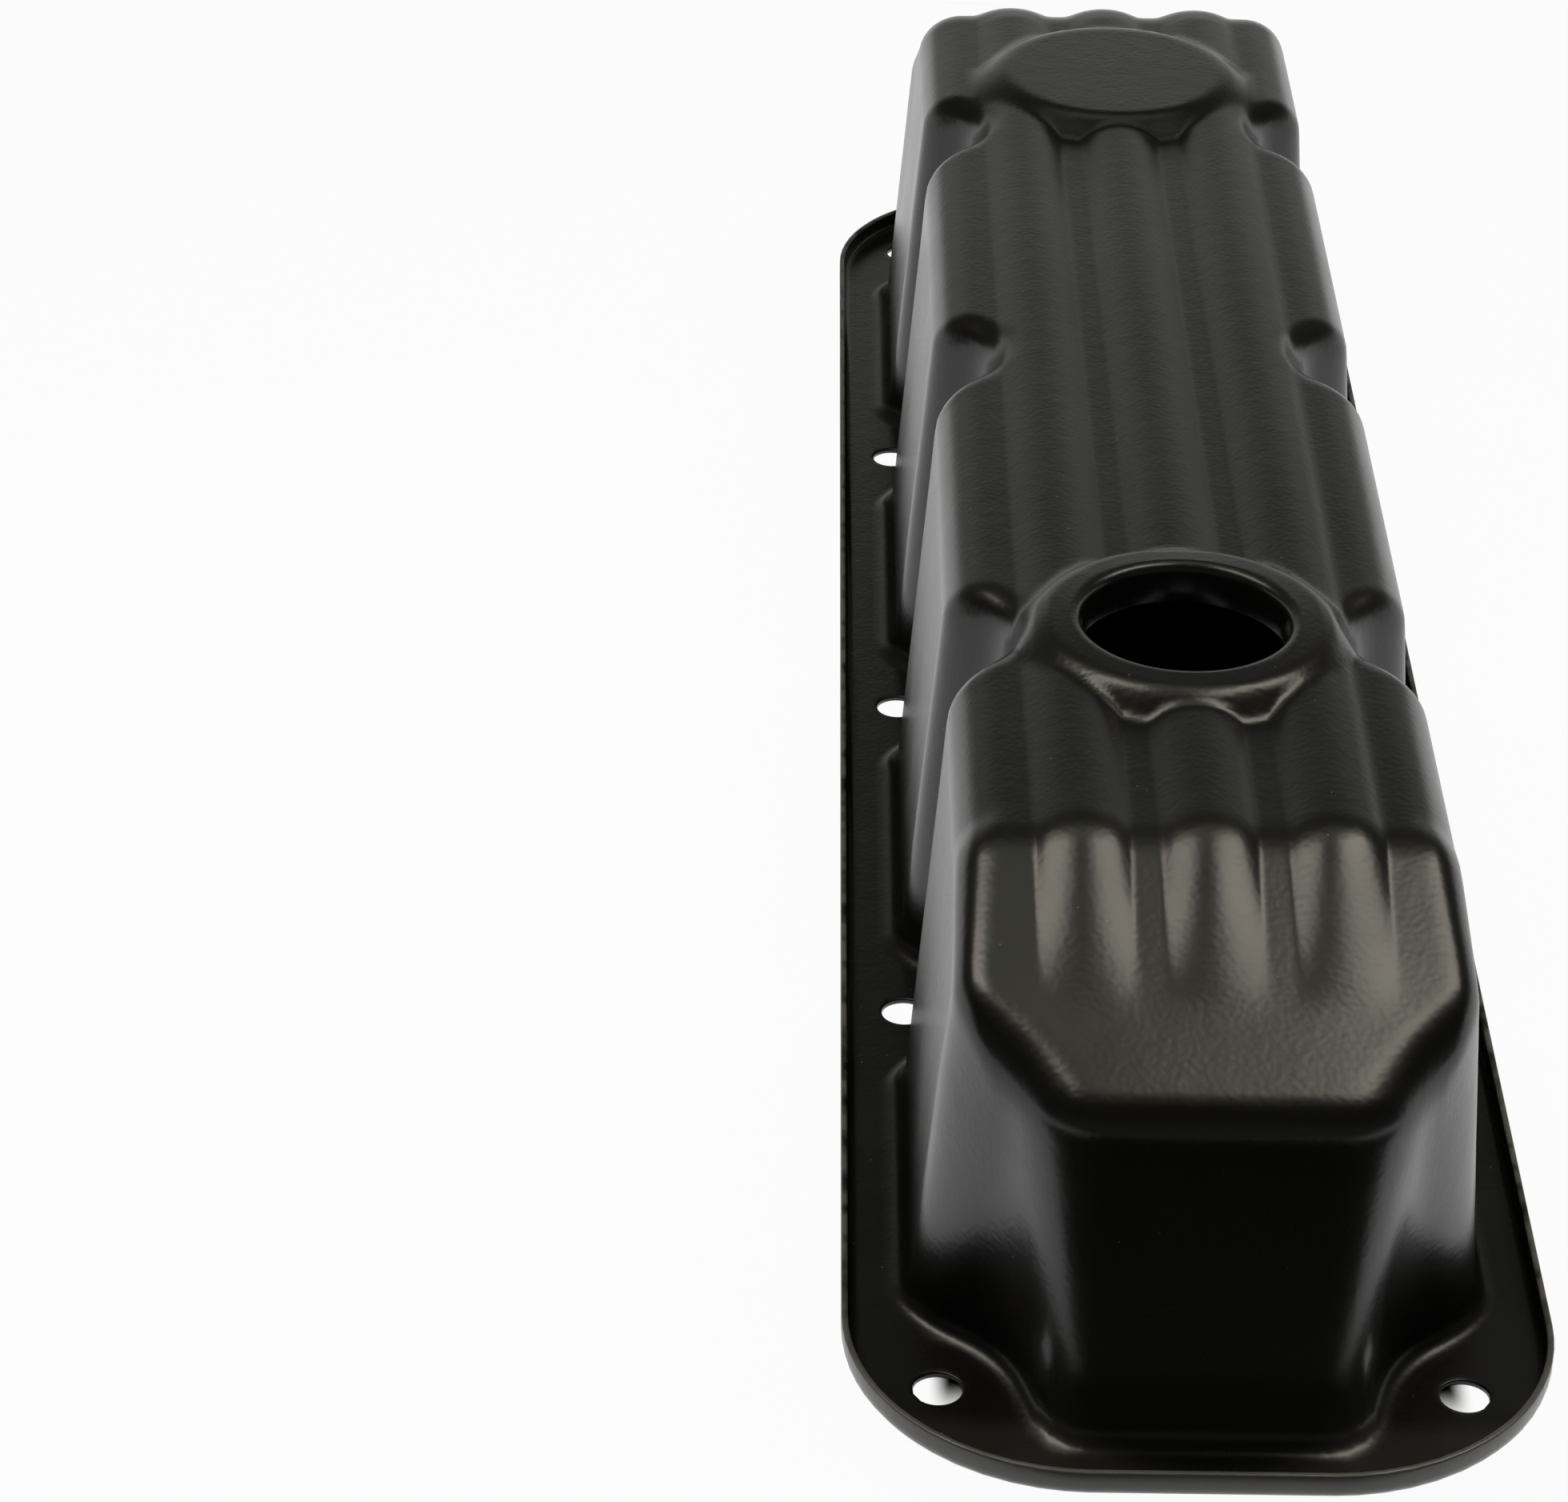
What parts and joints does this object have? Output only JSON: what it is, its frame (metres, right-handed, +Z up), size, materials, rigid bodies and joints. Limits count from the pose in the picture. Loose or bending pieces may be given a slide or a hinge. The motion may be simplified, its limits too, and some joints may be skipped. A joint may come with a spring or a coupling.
{
  "type": "engine valve cover",
  "caption": "Long stamped sheet-steel valve cover with three top ribs, a filler hole, a blank pad, bolt scallops and an upturned flange lip.",
  "frame": {"origin": "middle of the gasket face: midway between the ends and the sides of the flange, at its underside", "axes": "+X across the cover, +Y along its length from the filler end to the end with the blank pad, +Z up out of the gasket face"},
  "size_m": [0.1208, 0.5036, 0.0876],
  "materials": {
    "black_paint": "satin black paint with a fine orange-peel texture"
  },
  "bodies": {
    "root": {"cover_shell": "black_paint"}
  },
  "joints": []
}
